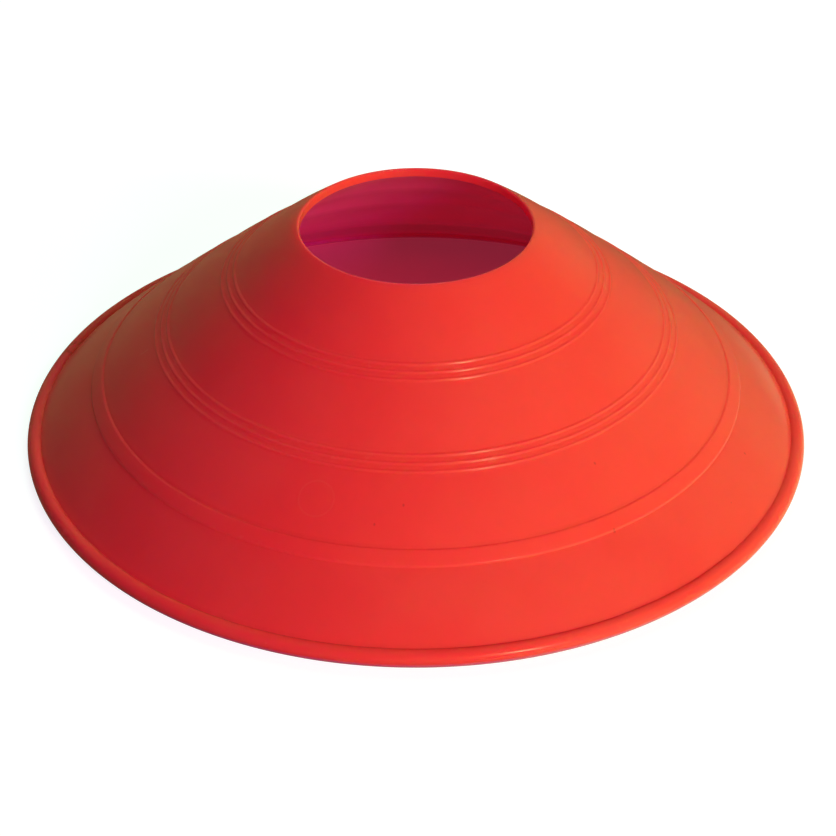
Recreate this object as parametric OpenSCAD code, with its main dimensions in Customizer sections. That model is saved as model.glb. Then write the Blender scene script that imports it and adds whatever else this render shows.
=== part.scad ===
/* [Body] */
// Diameter across the rim
rim_d = 190; // [180:1:220]
// Diameter of the hole at the top
hole_d = 54.7; // [46:0.1:66]
// Height from the ground to the lip of the hole
cone_h = 55.5; // [48:0.5:62]
// Thickness of the moulded wall
wall = 2; // [1.4:0.1:2.1]
// Height by which the side is domed above a straight cone
dome_rise = 1.2; // [0:0.1:2]
// Height by which the side bulges between one land and the next
band_crown = 0.25; // [0.1:0.05:1]

/* [Ridged lands] */
// Place of the upper ridged land, as a share of the way out from the hole to the rim
upper_land_share = 0.253; // [0.2:0.001:0.32]
// Place of the lower ridged land, as a share of the way out from the hole to the rim
lower_land_share = 0.495; // [0.43:0.001:0.56]
// Angle in degrees by which a ridged land lies flatter than the side around it
land_ease_angle = 2; // [0:0.5:4]
// Number of fine ridges on each land
ridge_count = 3; // [2:1:4]
// Distance from one ridge to the next
ridge_pitch = 1.9; // [1.5:0.1:2.4]
// Width of a ridge at its foot
ridge_w = 1.15; // [0.8:0.05:1.4]
// Height of a ridge
ridge_h = 0.2; // [0.05:0.05:0.4]
// Plain length of a land beyond its outermost ridges
land_margin = 0.1; // [0.05:0.05:0.6]

/* [Raised strip] */
// Place of the raised strip, as a share of the way out from the hole to the rim
strip_share = 0.734; // [0.68:0.001:0.78]
// Length of the strip down the slope
strip_l = 4.2; // [3:0.1:6]
// Height of the strip above the side
strip_h = 0.3; // [0.1:0.05:0.6]
// Length over which each edge of the strip rounds down to the side
strip_edge = 0.6; // [0.3:0.1:1.2]
// Depth of the step inside the wall behind the strip, below which the skirt is thinner
shoulder_h = 0.4; // [0.1:0.1:0.6]

/* [Rim and lip] */
// Thickness of the round bead along the rim
bead_d = 4; // [3.8:0.1:6]
// Depth by which the bead is flat underneath, where it stands on the ground
foot_cut = 0.3; // [0.1:0.1:0.6]
// Angle in degrees from the top of the bead inward to where the side meets it
bead_lead_angle = 40; // [30:1:50]
// Radius of the rounded upper edge of the hole
lip_r = 0.4; // [0.2:0.1:0.8]

/* [Hidden] */
$fn = 180;

hole_r = hole_d / 2;
rim_r = rim_d / 2;
bead_r = bead_d / 2;
land_l = (ridge_count - 1) * ridge_pitch + ridge_w + 2 * land_margin;

// Steps in the curve of a band, a ridge, an edge of the strip, the lip and the bead
band_steps = 6;
ridge_steps = 4;
edge_steps = 3;
lip_steps = 3;
bead_steps = 8;
heel_steps = 4;

// A profile point is [radius, height]
// A slope is the angle below level going outward, and a bearing the angle from straight up, outward
function downhill(slope) = [cos(slope), -sin(slope)];
function bearing(angle) = [sin(angle), cos(angle)];
function slope_of(p, q) = atan2(p.y - q.y, q.x - p.x);
function arc(centre, radius, from, to, steps) =
    [for (i = [0 : steps]) centre + radius * bearing(from + (to - from) * i / steps)];

// Curve from p to q that bulges outward by rise at its middle, and its slope at either end
function crowned(p, q, rise, steps) =
    [for (i = [0 : steps]) let (t = i / steps) p + (q - p) * t + bearing(slope_of(p, q)) * rise * 4 * t * (1 - t)];
function end_turn(p, q, rise) = atan(4 * rise / norm(q - p));

// Point where a line from p down a slope first meets the circle about a centre
function meets_circle(p, slope, centre, radius) =
    let (gap = p - centre, inward = gap * downhill(slope))
    p + downhill(slope) * (-inward - sqrt(inward * inward - gap * gap + radius * radius));

// The bead along the rim, its flat foot, and the point on it where the side comes in
bead_c = [rim_r - bead_r, bead_r - foot_cut];
bead_joint = bead_c + bead_r * bearing(-bead_lead_angle);
foot_bearing = acos(-bead_c.y / bead_r);

// The line of the side, from the lip of the hole to the bead
lip_c = [hole_r + lip_r, cone_h - lip_r];
lip_top = [lip_c.x, cone_h];
side_run = bead_joint.x - lip_top.x;
side_drop = lip_top.y - bead_joint.y;
function share_out(r) = (r - lip_top.x) / side_run;
function side_point(r) =
    let (t = share_out(r))
    [r, lip_top.y - side_drop * t + 4 * dome_rise * t * (1 - t)];
function side_slope(r) = atan((side_drop - 4 * dome_rise * (1 - 2 * share_out(r))) / side_run);

// A land is [middle, slope, length]
function land_at(share, ease, length) =
    let (r = hole_r + (rim_r - hole_r) * share)
    [side_point(r), side_slope(r) - ease, length];
upper_land = land_at(upper_land_share, land_ease_angle, land_l);
lower_land = land_at(lower_land_share, land_ease_angle, land_l);
strip_land = land_at(strip_share, 0, strip_l);
function land_point(land, place) = land[0] + downhill(land[1]) * place;
function land_start(land) = land_point(land, -land[2] / 2);
function land_end(land) = land_point(land, land[2] / 2);

// The four bands between the lip, the lands and the bead, as [first point, last point]
lip_slope = slope_of(lip_top, land_start(upper_land)) - end_turn(lip_top, land_start(upper_land), band_crown);
lip_end = lip_c + lip_r * bearing(lip_slope);
bands = [
    [lip_end, land_start(upper_land)],
    [land_end(upper_land), land_start(lower_land)],
    [land_end(lower_land), land_start(strip_land)],
    [land_end(strip_land), bead_joint]
];
function band_curve(band) = crowned(band[0], band[1], band_crown, band_steps);

// Ridges on a land, each a low rounded wave
function ridge_curve(land, place) =
    crowned(land_point(land, place - ridge_w / 2), land_point(land, place + ridge_w / 2), ridge_h, ridge_steps);
function ridges(land) = [
    for (k = [0 : ridge_count - 1])
        each ridge_curve(land, (k - (ridge_count - 1) / 2) * ridge_pitch)
];

// Raised strip, with both its edges rounded down to the side
function strip_point(land, end, t) =
    land_point(land, end * (strip_l / 2 - strip_edge * t)) + bearing(land[1]) * strip_h * sin(90 * t);
function strip_curve(land) = concat(
    [for (i = [1 : edge_steps]) strip_point(land, -1, i / edge_steps)],
    [for (i = [edge_steps : -1 : 1]) strip_point(land, 1, i / edge_steps)]
);

outer_skin = concat(
    arc(lip_c, lip_r, -90, 0, lip_steps), arc(lip_c, lip_r, 0, lip_slope, lip_steps),
    band_curve(bands[0]), ridges(upper_land),
    band_curve(bands[1]), ridges(lower_land),
    band_curve(bands[2]), strip_curve(strip_land),
    band_curve(bands[3])
);

// Inner surface: the side without ridges or strip, moved in along its own normal by the wall's thickness
function inner_band(band, depth) =
    let (
        curve = band_curve(band),
        mean = slope_of(band[0], band[1]),
        turn = end_turn(band[0], band[1], band_crown)
    )
    [for (i = [0 : band_steps]) curve[i] - depth * bearing(mean + turn * (2 * i / band_steps - 1))];
body_skin = [
    for (i = [0 : 2])
        for (p = inner_band(bands[i], wall))
            if (p.x > hole_r) p
];

// Step behind the strip, square to the wall, where the body of the wall meets the thinner skirt
skirt_wall = wall - shoulder_h;
shoulder = [
    land_end(strip_land) - wall * bearing(strip_land[1]),
    land_end(strip_land) - skirt_wall * bearing(strip_land[1])
];
inner_skin = concat(body_skin, shoulder, inner_band(bands[3], skirt_wall));

// Foot of the upright wall of the hole, where the inner surface comes to it
top_slope = slope_of(inner_skin[0], inner_skin[1]);
bore_foot = inner_skin[0] + (hole_r - inner_skin[0].x) * [1, -tan(top_slope)];

// Heel of the bead, where the inner surface runs into it
inner_end = inner_skin[len(inner_skin) - 1];
end_slope = slope_of(bands[3][0], bands[3][1]) + end_turn(bands[3][0], bands[3][1], band_crown);
heel = meets_circle(inner_end, end_slope, bead_c, bead_r);
heel_bearing = 360 + atan2(heel.x - bead_c.x, heel.y - bead_c.y);

echo(bore_top = cone_h - lip_r, bore_foot = bore_foot.y, bore_length = cone_h - lip_r - bore_foot.y);
echo(foot_middle = bead_c.x, foot_width = 2 * bead_r * sin(foot_bearing));

module wall_section() {
    polygon(concat(
        [bore_foot], outer_skin,
        arc(bead_c, bead_r, -bead_lead_angle, 90, bead_steps), arc(bead_c, bead_r, 90, foot_bearing, heel_steps),
        arc(bead_c, bead_r, 360 - foot_bearing, heel_bearing, heel_steps),
        [for (i = [len(inner_skin) - 1 : -1 : 0]) inner_skin[i]]
    ));
}

// The whole marker: one flexible shell with a round hole at the top and an open underside
module cone_shell() {
    color([0.9, 0.2, 0.15])
        rotate_extrude()
            wall_section();
}

cone_shell();
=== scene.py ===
from math import acos, atan, atan2, cos, pi, radians, sin, sqrt, tan

import bmesh
import bpy
from mathutils import Matrix, Vector


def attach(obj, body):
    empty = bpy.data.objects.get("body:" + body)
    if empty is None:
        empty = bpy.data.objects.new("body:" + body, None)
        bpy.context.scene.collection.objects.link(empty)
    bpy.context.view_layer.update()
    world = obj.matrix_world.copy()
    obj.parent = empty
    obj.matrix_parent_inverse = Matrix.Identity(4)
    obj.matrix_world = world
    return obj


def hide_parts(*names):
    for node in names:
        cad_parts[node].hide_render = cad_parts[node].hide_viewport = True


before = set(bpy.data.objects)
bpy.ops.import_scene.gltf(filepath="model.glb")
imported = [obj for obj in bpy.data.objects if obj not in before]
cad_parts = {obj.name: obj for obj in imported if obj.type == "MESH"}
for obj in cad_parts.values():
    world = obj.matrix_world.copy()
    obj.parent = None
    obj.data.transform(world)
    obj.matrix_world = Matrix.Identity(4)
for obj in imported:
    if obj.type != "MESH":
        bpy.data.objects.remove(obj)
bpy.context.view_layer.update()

# The camera stands in front of the marker and looks down on it from a little above, as in the photo.
# Its distance and height come from how the rim, the hole and the ridges look in perspective.
EYE = Vector((0, -0.460, 0.3107))
PITCH_DOWN = radians(33.979)
YAW = radians(0.065)
ROLL = radians(0.05)
FOCAL_PX = 2242.1
PICTURE_PX = 836

forward = Vector((sin(YAW) * cos(PITCH_DOWN), cos(YAW) * cos(PITCH_DOWN), -sin(PITCH_DOWN)))
level_right = Vector((cos(YAW), -sin(YAW), 0))
level_up = level_right.cross(forward)
camera_x = cos(ROLL) * level_right + sin(ROLL) * level_up
camera_y = cos(ROLL) * level_up - sin(ROLL) * level_right
lens = bpy.data.cameras.new("photo_camera")
lens.sensor_fit = "HORIZONTAL"
lens.sensor_width = 36
lens.lens = lens.sensor_width * FOCAL_PX / PICTURE_PX
lens.clip_start = 0.01
lens.clip_end = 50
camera = bpy.data.objects.new("photo_camera", lens)
turn = Matrix((camera_x, camera_y, -forward)).transposed()
camera.matrix_world = Matrix.Translation(EYE) @ turn.to_4x4()
bpy.context.scene.collection.objects.link(camera)
bpy.context.scene.camera = camera

# The shell is the whole marker: one injection moulding in soft orange-red polyethylene.
# Its side has two lands of three fine ridges, a raised strip, a beaded rim and a round hole.
# A profile point is (radius, height) in metres, and slopes are angles below level, going outward.
MM = 0.001
RIM_R = 95 * MM
HOLE_R = 27.35 * MM
CONE_H = 55.5 * MM
WALL = 2 * MM
DOME_RISE = 1.2 * MM
BAND_CROWN = 0.25 * MM
UPPER_LAND_SHARE = 0.253
LOWER_LAND_SHARE = 0.495
LAND_EASE = radians(2)
RIDGE_COUNT = 3
RIDGE_PITCH = 1.9 * MM
RIDGE_W = 1.15 * MM
RIDGE_H = 0.2 * MM
LAND_MARGIN = 0.1 * MM
STRIP_SHARE = 0.734
STRIP_L = 4.2 * MM
STRIP_H = 0.3 * MM
STRIP_EDGE = 0.6 * MM
SHOULDER_H = 0.4 * MM
BEAD_R = 2 * MM
FOOT_CUT = 0.3 * MM
BEAD_LEAD = radians(40)
LIP_R = 0.4 * MM
LAND_L = (RIDGE_COUNT - 1) * RIDGE_PITCH + RIDGE_W + 2 * LAND_MARGIN

# Steps in each curve of the outline, and around the marker
LIP_STEPS = 10
BAND_STEPS = 24
INNER_STEPS = 12
RIDGE_STEPS = 12
STRIP_STEPS = 8
BEAD_STEPS = 22
HEEL_STEPS = 6
AROUND = 420

# Points nearer to each other than this are one point, and edges that turn more than this stay sharp.
SAME_POINT = 1e-7
SHARP_ANGLE = radians(28)


def point(r, z):
    return Vector((r, z))


def downhill(slope):
    """The direction down a slope, going outward."""
    return Vector((cos(slope), -sin(slope)))


def bearing(angle):
    """The direction at an angle from straight up, going outward."""
    return Vector((sin(angle), cos(angle)))


def slope_of(p, q):
    return atan2(p.y - q.y, q.x - p.x)


def arc(centre, radius, start, end, steps):
    """Points on a circle between two bearings."""
    return [centre + radius * bearing(start + (end - start) * i / steps) for i in range(steps + 1)]


def end_turn(p, q, rise):
    """The angle at which a crowned curve leaves the straight line between its ends."""
    return atan(4 * rise / (q - p).length)


def crowned(p, q, rise, steps, depth=0.0):
    """A curve from p to q that bulges outward by rise, moved inward along its own normal by depth."""
    mean = slope_of(p, q)
    swing = end_turn(p, q, rise)
    curve = []
    for i in range(steps + 1):
        t = i / steps
        on_curve = p + (q - p) * t + bearing(mean) * rise * 4 * t * (1 - t)
        curve.append(on_curve - depth * bearing(mean + swing * (2 * t - 1)))
    return curve


bead_centre = point(RIM_R - BEAD_R, BEAD_R - FOOT_CUT)
bead_joint = bead_centre + BEAD_R * bearing(-BEAD_LEAD)
foot_bearing = acos(-bead_centre.y / BEAD_R)
lip_centre = point(HOLE_R + LIP_R, CONE_H - LIP_R)
lip_top = point(lip_centre.x, CONE_H)
side_run = bead_joint.x - lip_top.x
side_drop = lip_top.y - bead_joint.y


class Land:
    """A straight stretch of the side, such as the one that carries a group of ridges."""

    def __init__(self, share, ease, length):
        r = HOLE_R + (RIM_R - HOLE_R) * share
        t = (r - lip_top.x) / side_run
        self.middle = point(r, lip_top.y - side_drop * t + 4 * DOME_RISE * t * (1 - t))
        self.slope = atan((side_drop - 4 * DOME_RISE * (1 - 2 * t)) / side_run) - ease
        self.length = length
        self.start = self.at(-length / 2)
        self.end = self.at(length / 2)

    def at(self, place, height=0.0):
        return self.middle + downhill(self.slope) * place + bearing(self.slope) * height


upper_land = Land(UPPER_LAND_SHARE, LAND_EASE, LAND_L)
lower_land = Land(LOWER_LAND_SHARE, LAND_EASE, LAND_L)
strip_land = Land(STRIP_SHARE, 0, STRIP_L)
lip_slope = slope_of(lip_top, upper_land.start) - end_turn(lip_top, upper_land.start, BAND_CROWN)
lip_end = lip_centre + LIP_R * bearing(lip_slope)
bands = [
    (lip_end, upper_land.start),
    (upper_land.end, lower_land.start),
    (lower_land.end, strip_land.start),
    (strip_land.end, bead_joint),
]


def ridges(land):
    """The low rounded waves of one ridged land, with the flats between them."""
    line = []
    for k in range(RIDGE_COUNT):
        place = (k - (RIDGE_COUNT - 1) / 2) * RIDGE_PITCH
        for i in range(RIDGE_STEPS + 1):
            t = -1 + 2 * i / RIDGE_STEPS
            line.append(land.at(place + RIDGE_W * t / 2, RIDGE_H * (1 + cos(pi * t)) / 2))
    return line


def strip(land):
    """The raised strip, with both its edges rounded down to the side."""
    line = []
    for end in (-1, 1):
        for i in range(STRIP_STEPS + 1):
            t = i / STRIP_STEPS if end < 0 else 1 - i / STRIP_STEPS
            place = end * (STRIP_L / 2 - STRIP_EDGE * t)
            line.append(land.at(place, STRIP_H * sin(pi / 2 * t)))
    return line


def section():
    """The closed outline of the wall: up the hole, down the outside and back up the inside."""
    outer = arc(lip_centre, LIP_R, -pi / 2, lip_slope, LIP_STEPS)
    for band, after in zip(bands, (ridges(upper_land), ridges(lower_land), strip(strip_land), [])):
        outer += crowned(*band, BAND_CROWN, BAND_STEPS)[1:] + after
    outer += arc(bead_centre, BEAD_R, -BEAD_LEAD, foot_bearing, BEAD_STEPS)[1:]
    skirt_wall = WALL - SHOULDER_H
    inner = []
    for band in bands[:3]:
        inner += [p for p in crowned(*band, BAND_CROWN, INNER_STEPS, WALL) if p.x > HOLE_R]
    inner += [strip_land.end - wall * bearing(strip_land.slope) for wall in (WALL, skirt_wall)]
    inner += crowned(*bands[3], BAND_CROWN, INNER_STEPS, skirt_wall)
    top_slope = slope_of(inner[0], inner[1])
    bore_foot = inner[0] + (HOLE_R - inner[0].x) * point(1, -tan(top_slope))
    last_slope = slope_of(*bands[3]) + end_turn(*bands[3], BAND_CROWN)
    gap = inner[-1] - bead_centre
    reach = -gap.dot(downhill(last_slope))
    reach -= sqrt(reach * reach - gap.dot(gap) + BEAD_R * BEAD_R)
    heel = inner[-1] + downhill(last_slope) * reach
    heel_bearing = 2 * pi + atan2(heel.x - bead_centre.x, heel.y - bead_centre.y)
    under = arc(bead_centre, BEAD_R, 2 * pi - foot_bearing, heel_bearing, HEEL_STEPS)
    return [bore_foot] + outer + under + inner[::-1]


def without_repeats(line):
    """The same points, without those that lie on the one before."""
    kept = [line[0]]
    for p in line[1:]:
        if (p - kept[-1]).length > SAME_POINT:
            kept.append(p)
    return kept


outline = without_repeats(section())
shell_mesh = bpy.data.meshes.new("cone_shell_skin")
shape = bmesh.new()
rings = []
for k in range(AROUND):
    a = 2 * pi * k / AROUND
    rings.append([shape.verts.new((p.x * cos(a), p.x * sin(a), p.y)) for p in outline])
for k in range(AROUND):
    here, there = rings[k], rings[(k + 1) % AROUND]
    for i in range(len(outline)):
        j = (i + 1) % len(outline)
        face = shape.faces.new((here[i], here[j], there[j], there[i]))
        face.smooth = True
shape.normal_update()
bmesh.ops.recalc_face_normals(shape, faces=shape.faces)
for edge in shape.edges:
    if edge.calc_face_angle(0) > SHARP_ANGLE:
        edge.smooth = False
shape.to_mesh(shell_mesh)
shape.free()
shell = bpy.data.objects.new("cone_shell_skin", shell_mesh)
bpy.context.scene.collection.objects.link(shell)

# The plastic is translucent, satin outside and marked by use. Sizes are in metres on the surface.
plastic = bpy.data.materials.new("moulded_polyethylene")
plastic.use_nodes = True
nodes, links = plastic.node_tree.nodes, plastic.node_tree.links
shader = nodes["Principled BSDF"]
for socket, setting in (
    ("IOR", 1.5),
    ("Specular IOR Level", 0.45),
    ("Subsurface Weight", 0.85),
    ("Subsurface Scale", 6 * MM),
    ("Subsurface Radius", (1, 0.2, 0.5)),
):
    shader.inputs[socket].default_value = setting
surface = nodes.new("ShaderNodeTexCoord")
OUTER_DEEP = (0.92, 0.064, 0.056, 1)
OUTER_LIGHT = (0.94, 0.078, 0.063, 1)
# The inner colours are painted light: a paler, bluer tint for the light inside, and painted shade near
# the foot.
INNER = (0.97, 0.16, 0.33, 1)
INNER_FOOT_SHADE = (0.55, 0.13, 0.22, 1)
WORN = (0.96, 0.17, 0.11, 1)
# Painted shade for the creases at the strip and the bead.
CREASE_SHADE = (0.60, 0.035, 0.030, 1)
SMEAR = (0.40, 0.045, 0.028, 1)
SPECK = (0.16, 0.03, 0.02, 1)


def ramp(value, start, end, first=0.0, last=1.0):
    """Eases from first to last while the value goes from start to end."""
    step = nodes.new("ShaderNodeMapRange")
    step.interpolation_type = "SMOOTHSTEP"
    for name, number in (("From Min", start), ("From Max", end), ("To Min", first), ("To Max", last)):
        step.inputs[name].default_value = number
    links.new(value, step.inputs["Value"])
    return step.outputs["Result"]


def combine(operation, first, second):
    """One arithmetic step on two terms, each of them a number or a socket."""
    step = nodes.new("ShaderNodeMath")
    step.operation = operation
    for socket, term in zip(step.inputs, (first, second)):
        if isinstance(term, (int, float)):
            socket.default_value = term
        else:
            links.new(term, socket)
    return step.outputs["Value"]


def noise(size, detail):
    """Soft random values, about size metres from one patch to the next."""
    patches = nodes.new("ShaderNodeTexNoise")
    patches.inputs["Scale"].default_value = 1 / size
    patches.inputs["Detail"].default_value = detail
    links.new(surface.outputs["Object"], patches.inputs["Vector"])
    return patches.outputs["Fac"]


def blend(factor, first, second):
    """A colour between two others, each of them a colour or a socket."""
    step = nodes.new("ShaderNodeMix")
    step.data_type = "RGBA"
    links.new(factor, step.inputs["Factor"])
    for name, colour in (("A", first), ("B", second)):
        if isinstance(colour, tuple):
            step.inputs[name].default_value = colour
        else:
            links.new(colour, step.inputs[name])
    return step.outputs["Result"]


normal_parts = nodes.new("ShaderNodeSeparateXYZ")
links.new(surface.outputs["Normal"], normal_parts.inputs[0])
place_parts = nodes.new("ShaderNodeSeparateXYZ")
links.new(surface.outputs["Object"], place_parts.inputs[0])
flat_place = nodes.new("ShaderNodeCombineXYZ")
links.new(place_parts.outputs["X"], flat_place.inputs["X"])
links.new(place_parts.outputs["Y"], flat_place.inputs["Y"])
across = nodes.new("ShaderNodeVectorMath")
across.operation = "LENGTH"
links.new(flat_place.outputs["Vector"], across.inputs[0])
radius = across.outputs["Value"]
facing_out = nodes.new("ShaderNodeVectorMath")
facing_out.operation = "DOT_PRODUCT"
links.new(surface.outputs["Normal"], facing_out.inputs[0])
links.new(flat_place.outputs["Vector"], facing_out.inputs[1])

# The inner side faces down, and at the heel of the bead it faces the middle.
HEEL_FROM = 60 * MM
HEEL_FULL = 70 * MM
FACES_MIDDLE = -20 * MM
FACES_DOWN = -0.4
FACES_UP = 0.4
facing_in = ramp(facing_out.outputs["Value"], 0, FACES_MIDDLE)
not_facing_up = ramp(normal_parts.outputs["Z"], FACES_UP, FACES_UP / 2)
heel = combine("MULTIPLY", facing_in, ramp(radius, HEEL_FROM, HEEL_FULL))
heel = combine("MULTIPLY", heel, not_facing_up)
inner_side = combine("MAXIMUM", heel, ramp(normal_parts.outputs["Z"], 0, FACES_DOWN))
outer_side = combine("SUBTRACT", 1, inner_side)


def ring(r, half_width):
    """A soft ring around the marker at one radius, on the outer side."""
    off = combine("ABSOLUTE", combine("SUBTRACT", radius, r), 0)
    return combine("MULTIPLY", ramp(off, half_width, 0), outer_side)


def distance_from(r, azimuth, height=None):
    """The distance from one place on the side, seen from above where no height is given."""
    apart = nodes.new("ShaderNodeVectorMath")
    apart.operation = "DISTANCE"
    here = surface.outputs["Object"] if height else flat_place.outputs["Vector"]
    links.new(here, apart.inputs[0])
    apart.inputs[1].default_value = (r * cos(azimuth), r * sin(azimuth), height or 0)
    return apart.outputs["Value"]


def spot(r, azimuth, size):
    """A small round mark at one place on the outer side."""
    return combine("MULTIPLY", ramp(distance_from(r, azimuth), size, size / 3), outer_side)


def strongest(masks):
    """At every point, the highest of several masks."""
    highest = masks[0]
    for mask in masks[1:]:
        highest = combine("MAXIMUM", highest, mask)
    return highest


def part_of(mask, share):
    return combine("MULTIPLY", mask, share)


# The pigment is a little uneven, and painted shade, uneven in strength, darkens the creases at the foot
# of the strip and above the bead.
MOTTLE_SIZE = 36 * MM
CREASE_SHADE_PATCH_SIZE = 9 * MM
CREASE_SHADE_LEAST = 0.05
CREASE_SHADE_MOST = 0.25
STRIP_CREASE_W = 0.8 * MM
BEAD_CREASE_W = 0.9 * MM
mottle = ramp(noise(MOTTLE_SIZE, 3), 0.35, 0.65)
skin = blend(mottle, OUTER_DEEP, OUTER_LIGHT)
creases = strongest([ring(strip_land.start.x, STRIP_CREASE_W), ring(bead_joint.x, BEAD_CREASE_W)])
crease_shade = combine("MULTIPLY", creases, ramp(noise(CREASE_SHADE_PATCH_SIZE, 4), 0.3, 0.7, CREASE_SHADE_LEAST, CREASE_SHADE_MOST))
skin = blend(crease_shade, skin, CREASE_SHADE)

# Stacking and kicks have rubbed the edge of the strip, the ridges and the outside of the bead.
SCUFF_SIZE = 3 * MM
SCUFF_PALENESS = 0.25
STRIP_WEAR_W = 0.5 * MM
BEAD_WEAR_FROM = RIM_R - 1.4 * MM
BEAD_WEAR_FULL = RIM_R - 0.4 * MM
edges = strongest([
    ring(strip_land.at(STRIP_L / 2 - STRIP_EDGE).x, STRIP_WEAR_W),
    ring(upper_land.middle.x, LAND_L / 2),
    ring(lower_land.middle.x, LAND_L / 2),
    ramp(radius, BEAD_WEAR_FROM, BEAD_WEAR_FULL),
])
scuffs = combine("MULTIPLY", edges, ramp(noise(SCUFF_SIZE, 6), 0.6, 0.72))
skin = blend(part_of(scuffs, SCUFF_PALENESS), skin, WORN)

# Small dark specks of dirt, a pale scratch on the left and a brown smear near the far left edge.
# A speck is (radius, azimuth in degrees, size), and a point of the scratch (radius, azimuth), in mm.
SPECKS = (
    (68.24, -92.25, 0.36),
    (71.71, -97.18, 0.32),
    (66.93, -53.7, 0.38),
    (78.6, -56.3, 0.44),
    (82.69, -21.8, 0.38),
)
SCRATCH = ((65.98, -171.3), (65.5, -171.15), (65.0, -171.05), (64.5, -171.0))
SPECK_DARKNESS = 0.3
SCRATCH_W = 0.32 * MM
SCRATCH_PALENESS = 0.5
SMEAR_PLACE = (91.5 * MM, radians(162))
SMEAR_SIZE = 7 * MM
SMEAR_GRAIN = 2.5 * MM
SMEAR_DARKNESS = 0.5
GRIT_PITCH = 9 * MM
GRIT_SIZE_SHARE = 0.03
GRIT_DARKNESS = 0.2
CLEAN_CELLS_SHARE = 0.8
specks = strongest([spot(r * MM, radians(azimuth), size * MM) for r, azimuth, size in SPECKS])
grit = nodes.new("ShaderNodeTexVoronoi")
grit.inputs["Scale"].default_value = 1 / GRIT_PITCH
links.new(surface.outputs["Object"], grit.inputs["Vector"])
grit_choice = nodes.new("ShaderNodeSeparateColor")
links.new(grit.outputs["Color"], grit_choice.inputs[0])
dirty_cells = ramp(grit_choice.outputs["Red"], CLEAN_CELLS_SHARE, CLEAN_CELLS_SHARE + 0.02)
grit_dots = ramp(grit.outputs["Distance"], GRIT_SIZE_SHARE, 0.4 * GRIT_SIZE_SHARE)
grit_dots = combine("MULTIPLY", grit_dots, dirty_cells)
dirt = strongest([part_of(specks, SPECK_DARKNESS), part_of(grit_dots, GRIT_DARKNESS)])
skin = blend(dirt, skin, SPECK)
scratch = strongest([spot(r * MM, radians(azimuth), SCRATCH_W) for r, azimuth in SCRATCH])
skin = blend(part_of(scratch, SCRATCH_PALENESS), skin, WORN)
streaks = ramp(noise(SMEAR_GRAIN, 4), 0.45, 0.6, 0, SMEAR_DARKNESS)
skin = blend(combine("MULTIPLY", spot(*SMEAR_PLACE, SMEAR_SIZE), streaks), skin, SMEAR)

# The end of a pin of the mould has left a faint round line low on the front left.
PIN_MARK_R = 4 * MM
PIN_LINE_W = 0.4 * MM
PIN_LINE_PALENESS = 0.15
PIN_PLACE_R = 68.56 * MM
PIN_AZIMUTH = radians(-108.4)
pin_share = (PIN_PLACE_R - lower_land.end.x) / (strip_land.start.x - lower_land.end.x)
pin_place = lower_land.end.lerp(strip_land.start, pin_share)
off_mark = combine("SUBTRACT", distance_from(PIN_PLACE_R, PIN_AZIMUTH, pin_place.y), PIN_MARK_R)
pin_mark = combine("MULTIPLY", ramp(combine("ABSOLUTE", off_mark, 0), PIN_LINE_W, 0), outer_side)
skin = blend(part_of(pin_mark, PIN_LINE_PALENESS), skin, WORN)

# The inner side is painted paler and bluer for the bluish light inside the cone, and painted shade makes
# a darker ring near its foot.
FOOT_TOP = 12 * MM
FOOT_DARK_TOP = 8 * MM
FOOT_DARK_END = 5.5 * MM
FOOT_END = 2 * MM
FOOT_DARKNESS = 0.85
upper_part = ramp(place_parts.outputs["Z"], FOOT_TOP, FOOT_DARK_TOP, 0, FOOT_DARKNESS)
lower_part = ramp(place_parts.outputs["Z"], FOOT_END, FOOT_DARK_END, 0.4, 1)
foot = combine("MULTIPLY", upper_part, lower_part)
skin = blend(inner_side, skin, blend(foot, INNER, INNER_FOOT_SHADE))
links.new(skin, shader.inputs["Base Color"])

# The mould has left a satin polish, a little duller in patches and where it is rubbed, and a fine grain.
# The heights of the ripple and of the pin's line are multiples of the grain's.
POLISH_SIZE = 14 * MM
POLISH_BEST = 0.21
POLISH_DULLEST = 0.25
SCUFF_DULLNESS = 0.02
GRAIN_SIZE = 0.7 * MM
GRAIN_HEIGHT = 0.03 * MM
GRAIN_STRENGTH = 0.12
RIPPLE_SIZE = 4 * MM
RIPPLE_HEIGHT = 2
PIN_LINE_DEPTH = 9
polish = ramp(noise(POLISH_SIZE, 4), 0.3, 0.7, POLISH_BEST, POLISH_DULLEST)
links.new(combine("ADD", polish, part_of(scuffs, SCUFF_DULLNESS)), shader.inputs["Roughness"])
grain = nodes.new("ShaderNodeBump")
grain.inputs["Strength"].default_value = GRAIN_STRENGTH
grain.inputs["Distance"].default_value = GRAIN_HEIGHT
ripple = combine("MULTIPLY", noise(RIPPLE_SIZE, 2), RIPPLE_HEIGHT)
peel = combine("ADD", noise(GRAIN_SIZE, 3), ripple)
groove = combine("MULTIPLY", pin_mark, PIN_LINE_DEPTH)
links.new(combine("SUBTRACT", peel, groove), grain.inputs["Height"])
links.new(grain.outputs["Normal"], shader.inputs["Normal"])
shell_mesh.materials.append(plastic)

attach(shell, "root")
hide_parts("cone_shell")

# The floor is a white sheet that the marker stands on, only there for the picture.
# The camera sees it white, with the marker's soft shadow, and glossy rays see a painted brown reflection
# on it.
# Under the marker it is painted crimson, with a weak glow, both standing in for the red light that comes
# down through the wall.
FLOOR_HALF = 3
PAINTED_PATCH_AZIMUTH = radians(-30)
PAINTED_PATCH_FROM = 0.3
# Painted reflections: glows on the sheet that only glossy rays see.
SHEET_PAINTED_LIGHT_PATCH = (0.9, 0.85, 0.45, 1)
SHEET_PAINTED_BROWN_REFLECTION = (0.22, 0.14, 0.07, 1)
SHEET_SHADE = 0.30
SHEET_GLOW = 0.86
UNDER_R = RIM_R - BEAD_R
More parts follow.
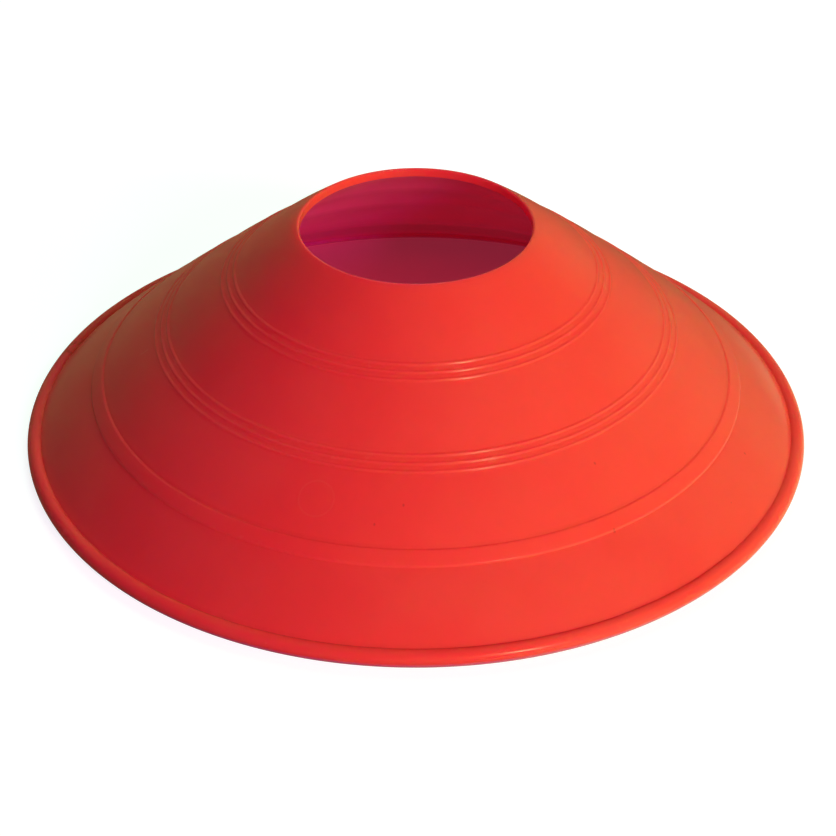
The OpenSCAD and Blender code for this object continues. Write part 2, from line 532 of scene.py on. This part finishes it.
# Painted red light on the floor under the marker.
UNDER_RED_LIGHT_PAINT = (0.90, 0.16, 0.25, 1)
UNDER_GLOW = (0.10, 0.013, 0.030, 1)
floor_mesh = bpy.data.meshes.new("floor")
corners = [(x * FLOOR_HALF, y * FLOOR_HALF, 0) for x, y in ((-1, -1), (1, -1), (1, 1), (-1, 1))]
floor_mesh.from_pydata(corners, [], [(0, 1, 2, 3)])
floor = bpy.data.objects.new("floor", floor_mesh)
bpy.context.scene.collection.objects.link(floor)
sheet = bpy.data.materials.new("white_sheet")
sheet.use_nodes = True
nodes, links = sheet.node_tree.nodes, sheet.node_tree.links
sheet_shader = nodes["Principled BSDF"]
sheet_shader.inputs["Roughness"].default_value = 0.9
sheet_shader.inputs["Specular IOR Level"].default_value = 0
place = nodes.new("ShaderNodeNewGeometry")
from_axis = nodes.new("ShaderNodeVectorMath")
from_axis.operation = "LENGTH"
links.new(place.outputs["Position"], from_axis.inputs[0])
outside = nodes.new("ShaderNodeMath")
outside.operation = "GREATER_THAN"
outside.inputs[1].default_value = UNDER_R
links.new(from_axis.outputs["Value"], outside.inputs[0])
ray = nodes.new("ShaderNodeLightPath")

# A painted patch of window light glows on the sheet in front on the right, for glossy rays only, so the
# marker's glossy edges show a painted reflection of it.
toward_painted_patch = nodes.new("ShaderNodeVectorMath")
toward_painted_patch.operation = "DOT_PRODUCT"
toward_painted_patch.inputs[1].default_value = (cos(PAINTED_PATCH_AZIMUTH), sin(PAINTED_PATCH_AZIMUTH), 0)
links.new(place.outputs["Position"], toward_painted_patch.inputs[0])
share = nodes.new("ShaderNodeMath")
share.operation = "DIVIDE"
links.new(toward_painted_patch.outputs["Value"], share.inputs[0])
links.new(from_axis.outputs["Value"], share.inputs[1])
patch = nodes.new("ShaderNodeMapRange")
patch.inputs["From Min"].default_value = PAINTED_PATCH_FROM
patch.interpolation_type = "SMOOTHSTEP"
links.new(share.outputs["Value"], patch.inputs["Value"])
painted_reflection = nodes.new("ShaderNodeMix")
painted_reflection.data_type = "RGBA"
painted_reflection.inputs["A"].default_value = SHEET_PAINTED_BROWN_REFLECTION
painted_reflection.inputs["B"].default_value = SHEET_PAINTED_LIGHT_PATCH
links.new(patch.outputs["Result"], painted_reflection.inputs["Factor"])
painted_reflection_glossy_only = nodes.new("ShaderNodeMix")
painted_reflection_glossy_only.data_type = "RGBA"
painted_reflection_glossy_only.inputs["A"].default_value = (0, 0, 0, 1)
links.new(ray.outputs["Is Glossy Ray"], painted_reflection_glossy_only.inputs["Factor"])
links.new(painted_reflection.outputs["Result"], painted_reflection_glossy_only.inputs["B"])


def grey(value):
    return (value, value, value, 1)


def sheet_colour(to_other_rays, to_camera, under_marker, socket):
    """Feeds a socket with one colour under the marker, and with two outside it, by the kind of ray."""
    by_ray = nodes.new("ShaderNodeMix")
    by_ray.data_type = "RGBA"
    by_ray.inputs["B"].default_value = grey(to_camera)
    links.new(ray.outputs["Is Camera Ray"], by_ray.inputs["Factor"])
    if to_other_rays:
        links.new(to_other_rays, by_ray.inputs["A"])
    else:
        by_ray.inputs["A"].default_value = grey(0)
    by_place = nodes.new("ShaderNodeMix")
    by_place.data_type = "RGBA"
    by_place.inputs["A"].default_value = under_marker
    links.new(outside.outputs["Value"], by_place.inputs["Factor"])
    links.new(by_ray.outputs["Result"], by_place.inputs["B"])
    links.new(by_place.outputs["Result"], sheet_shader.inputs[socket])


sheet_colour(None, SHEET_SHADE, UNDER_RED_LIGHT_PAINT, "Base Color")
sheet_colour(painted_reflection_glossy_only.outputs["Result"], SHEET_GLOW, UNDER_GLOW, "Emission Color")
sheet_shader.inputs["Emission Strength"].default_value = 1
floor_mesh.materials.append(sheet)


# The light comes from the front on the right: two tinted lamps and one small window, which alone
# shows as bright points on the edges. Wide lamps all around are soft fill in the room's colours.
LAMP_DISTANCE = 1.6


def lamp(name, azimuth, elevation, size, strength, colour, reflected):
    """A round lamp turned to the marker. Azimuth 0 is on the right of the picture and -90 in front."""
    light = bpy.data.lights.new(name, "AREA")
    light.shape = "DISK"
    light.size = size
    light.energy = strength
    light.color = colour
    stand = bpy.data.objects.new(name, light)
    a, e = radians(azimuth), radians(elevation)
    stand.location = LAMP_DISTANCE * Vector((cos(a) * cos(e), sin(a) * cos(e), sin(e)))
    stand.rotation_euler = (-stand.location).to_track_quat("-Z", "Y").to_euler()
    stand.visible_glossy = reflected
    bpy.context.scene.collection.objects.link(stand)


lamp("key", -52, 22, 0.25, 14.5, (1, 0.42, 0.42), False)
lamp("second_key", -67, 28, 0.25, 8, (1, 0.15, 1.15), False)
lamp("small_window", -62, 25, 0.1, 3.4, (1, 1, 0.55), True)
lamp("low_right_fill", -20, 10, 0.8, 8, (0.9, 2.8, 0.1), False)
lamp("side_fill", 60, 10, 0.8, 3, (1, 1.5, 1.4), False)
lamp("far_fill", 90, 35, 0.8, 8, (1, 2.6, 1.3), False)
lamp("left_fill", 180, 28, 0.8, 2, (0.6, 0.1, 1.2), False)

# The room is dark above and brown near the horizon, which the grazing sides of the marker mirror.
ROOM_BROWN = (0.44, 0.30, 0.15, 1)
ROOM_DARK = (0.02, 0.02, 0.02, 1)
BROWN_UP_TO = 0.2
DARK_FROM = 0.55
ROOM_LEFT = 0.2
ROOM_RIGHT = 1.0
world = bpy.data.worlds.new("room")
bpy.context.scene.world = world
world.use_nodes = True
nodes, links = world.node_tree.nodes, world.node_tree.links
direction = nodes.new("ShaderNodeTexCoord")
upward = nodes.new("ShaderNodeSeparateXYZ")
links.new(direction.outputs["Generated"], upward.inputs[0])
above = nodes.new("ShaderNodeMapRange")
above.interpolation_type = "SMOOTHSTEP"
above.inputs["From Min"].default_value = BROWN_UP_TO
above.inputs["From Max"].default_value = DARK_FROM
links.new(upward.outputs["Z"], above.inputs["Value"])
room = nodes.new("ShaderNodeMix")
room.data_type = "RGBA"
room.inputs["A"].default_value = ROOM_BROWN
room.inputs["B"].default_value = ROOM_DARK
links.new(above.outputs["Result"], room.inputs["Factor"])
links.new(room.outputs["Result"], nodes["Background"].inputs["Color"])
rightward = nodes.new("ShaderNodeMapRange")
rightward.inputs["From Min"].default_value = -1
rightward.inputs["To Min"].default_value = ROOM_LEFT
rightward.inputs["To Max"].default_value = ROOM_RIGHT
links.new(upward.outputs["X"], rightward.inputs["Value"])
links.new(rightward.outputs["Result"], nodes["Background"].inputs["Strength"])
bpy.context.scene.view_settings.view_transform = "Standard"
